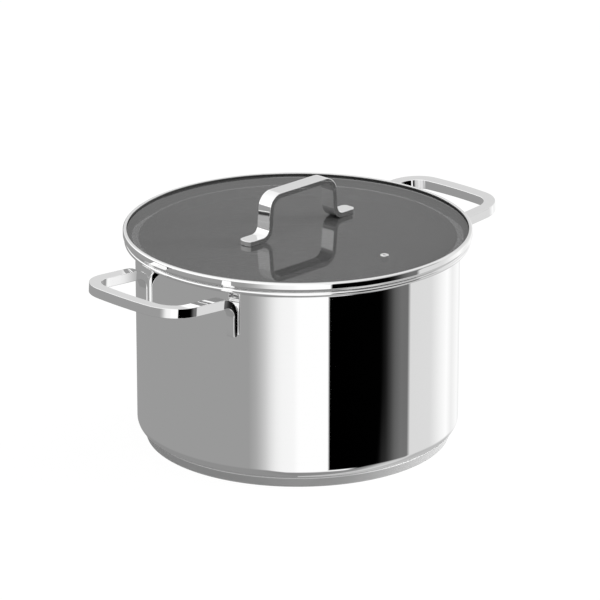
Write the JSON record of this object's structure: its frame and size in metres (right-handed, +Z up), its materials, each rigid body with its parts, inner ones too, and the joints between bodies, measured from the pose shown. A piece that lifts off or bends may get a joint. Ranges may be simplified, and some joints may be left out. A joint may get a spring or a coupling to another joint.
{
  "type": "stock pot",
  "caption": "Straight-sided polished steel stock pot with thick base, welded bow handles and a lift-off smoked glass lid with strap handle and steam vent.",
  "frame": {"origin": "centre of the base underside, on the pot's axis", "axes": "+Z up along the pot's axis; the two side handles and the lid handle lie along X; the steam vent is on the -Y side"},
  "size_m": [0.3606, 0.258, 0.1944],
  "materials": {
    "polished_steel": "mirror polished stainless steel",
    "brushed_steel": "fine matte ground stainless steel",
    "satin_steel": "satin stainless steel",
    "aluminium": "plain aluminium",
    "smoked_glass": "flat smoked tempered glass, polished",
    "silicone": "matte silicone rubber"
  },
  "bodies": {
    "pot": {"pot_shell": "polished_steel", "base_core": "aluminium", "base_cap": "brushed_steel", "side_handle_left": "polished_steel", "side_handle_right": "polished_steel"},
    "lid": {"lid_glass": "smoked_glass", "lid_grommet_left": "silicone", "lid_grommet_right": "silicone", "lid_handle": "polished_steel", "lid_handle_boss_left": "satin_steel", "lid_handle_boss_right": "satin_steel", "lid_rim": "polished_steel", "lid_rim_gasket": "silicone", "lid_screw_left": "satin_steel", "lid_screw_right": "satin_steel", "lid_seal_washer_left": "silicone", "lid_seal_washer_right": "silicone", "lid_steel_washer_left": "satin_steel", "lid_steel_washer_right": "satin_steel", "vent_eyelet": "polished_steel", "vent_gasket": "silicone"}
  },
  "joints": [
    {"name": "lid_lift", "type": "slide", "parent": "pot", "child": "lid", "axis": [0, 0, 1], "range_m": [0, 0.2]}
  ]
}
